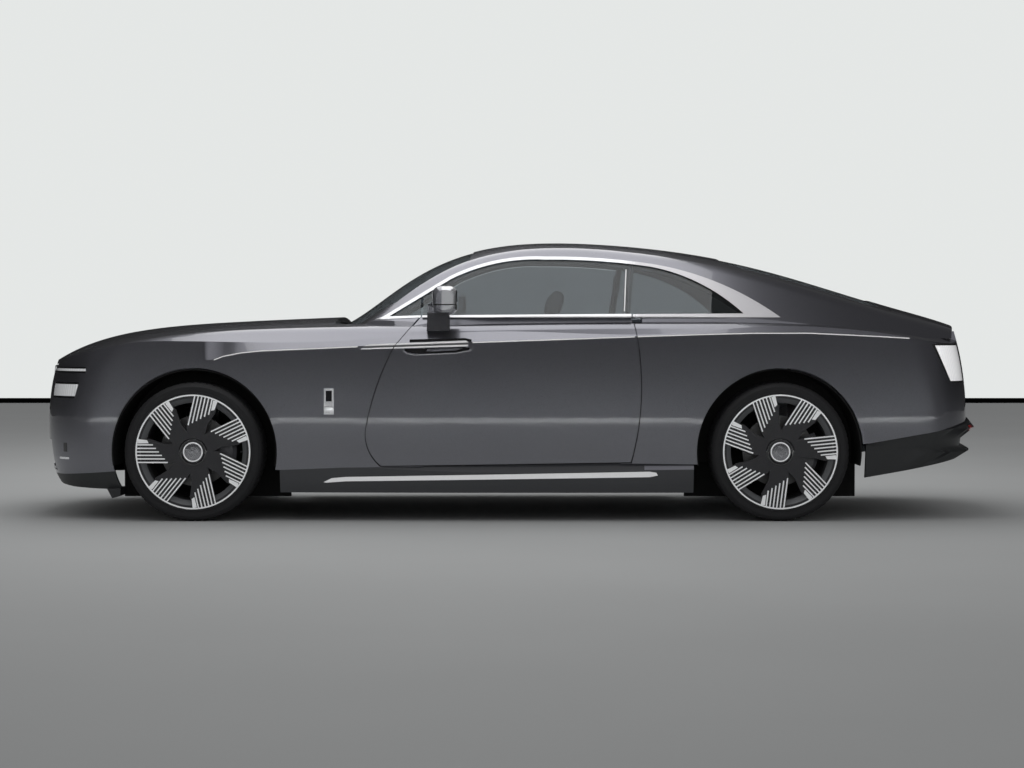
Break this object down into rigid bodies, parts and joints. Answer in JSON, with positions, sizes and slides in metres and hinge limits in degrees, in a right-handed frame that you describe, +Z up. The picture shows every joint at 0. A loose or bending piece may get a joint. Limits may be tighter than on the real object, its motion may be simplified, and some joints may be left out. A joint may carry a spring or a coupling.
{
  "type": "two-door fastback coupe car",
  "caption": "Large two-door fastback coupe with rear-hinged doors, upright vaned grille, turbine wheels and a hollow cabin; doors, lids, steering and wheels move.",
  "frame": {"origin": "on the ground, at the middle of the overall length and width", "axes": "+X towards the tail, +Y towards the car's right side, +Z up"},
  "size_m": [5.3643, 2.236, 1.556],
  "materials": {
    "alloy": "satin",
    "black_plastic": "matte",
    "body_paint": "gloss",
    "bright_metal": "polished",
    "glass": "gloss",
    "lamp": "gloss",
    "leather": "satin",
    "rubber": "matte",
    "steel": "satin"
  },
  "bodies": {
    "body": {"battery_pack": "steel", "boot_tub": "black_plastic", "bulkhead": "black_plastic", "dashboard": "leather", "drive_units": "steel", "front_bumper": "body_paint", "front_lip": "black_plastic", "front_seats": "leather", "front_subframe": "steel", "front_wings": "body_paint", "grille": "bright_metal", "headlamps": "lamp", "lower_grille": "bright_metal", "pillar_trims": "black_plastic", "platform": "body_paint", "quarter_panels": "body_paint", "quarter_windows": "glass", "rear_bumper": "body_paint", "rear_diffuser": "black_plastic", "rear_seat": "leather", "rear_subframe": "steel", "rear_window": "glass", "roof_frame": "body_paint", "sill_trims": "bright_metal", "tail_lamps": "lamp", "wheel_liners": "black_plastic", "window_trims": "bright_metal", "windscreen": "glass", "wing_trims": "bright_metal"},
    "bonnet": {"bonnet": "body_paint"},
    "boot_lid": {"boot_lid": "body_paint"},
    "steering_wheel": {"steering_wheel": "leather"},
    "door_left": {"door_glass_left": "glass", "door_left": "body_paint", "door_mirror_left": "body_paint", "door_trim_left": "bright_metal"},
    "knuckle_left": {"knuckle_left": "steel"},
    "wheel_front_left": {"rim_front_left": "alloy", "tyre_front_left": "rubber"},
    "wheel_rear_left": {"rim_rear_left": "alloy", "tyre_rear_left": "rubber"},
    "door_right": {"door_glass_right": "glass", "door_mirror_right": "body_paint", "door_right": "body_paint", "door_trim_right": "bright_metal"},
    "knuckle_right": {"knuckle_right": "steel"},
    "wheel_front_right": {"rim_front_right": "alloy", "tyre_front_right": "rubber"},
    "wheel_rear_right": {"rim_rear_right": "alloy", "tyre_rear_right": "rubber"}
  },
  "joints": [
    {"name": "steering_wheel_turn", "type": "hinge", "parent": "body", "child": "steering_wheel", "pos_m": [-0.56, -0.4, 0.96], "axis": [0.9272, 0, 0.3746], "range_deg": [-455, 455]},
    {"name": "steer_left", "type": "hinge", "parent": "body", "child": "knuckle_left", "pos_m": [-1.737, -0.782, 0.38], "axis": [0, 0, 1], "range_deg": [-35, 35]},
    {"name": "steer_right", "type": "hinge", "parent": "body", "child": "knuckle_right", "pos_m": [-1.737, 0.782, 0.38], "axis": [0, 0, 1], "range_deg": [-35, 35]},
    {"name": "wheel_front_left_roll", "type": "hinge", "parent": "knuckle_left", "child": "wheel_front_left", "pos_m": [-1.737, -0.8405, 0.38], "axis": [0, 1, 0], "continuous": true},
    {"name": "wheel_front_right_roll", "type": "hinge", "parent": "knuckle_right", "child": "wheel_front_right", "pos_m": [-1.737, 0.8405, 0.38], "axis": [0, 1, 0], "continuous": true},
    {"name": "wheel_rear_left_roll", "type": "hinge", "parent": "body", "child": "wheel_rear_left", "pos_m": [1.473, -0.8255, 0.38], "axis": [0, 1, 0], "continuous": true},
    {"name": "wheel_rear_right_roll", "type": "hinge", "parent": "body", "child": "wheel_rear_right", "pos_m": [1.473, 0.8255, 0.38], "axis": [0, 1, 0], "continuous": true},
    {"name": "door_left_swing", "type": "hinge", "parent": "body", "child": "door_left", "pos_m": [0.716, -1.006, 0.7], "axis": [0, 0, 1], "range_deg": [0, 68]},
    {"name": "door_right_swing", "type": "hinge", "parent": "body", "child": "door_right", "pos_m": [0.716, 1.006, 0.7], "axis": [0, 0, -1], "range_deg": [0, 68]},
    {"name": "bonnet_lift", "type": "hinge", "parent": "body", "child": "bonnet", "pos_m": [-0.985, 0, 1.118], "axis": [0, 1, 0], "range_deg": [0, 50]},
    {"name": "boot_lift", "type": "hinge", "parent": "body", "child": "boot_lid", "pos_m": [2.15, 0, 1.21], "axis": [0, -1, 0], "range_deg": [0, 70]}
  ],
  "couplings": [
    {"joint": "steer_left", "follows": "steering_wheel_turn", "ratio": 0.076923},
    {"joint": "steer_right", "follows": "steering_wheel_turn", "ratio": 0.076923}
  ]
}
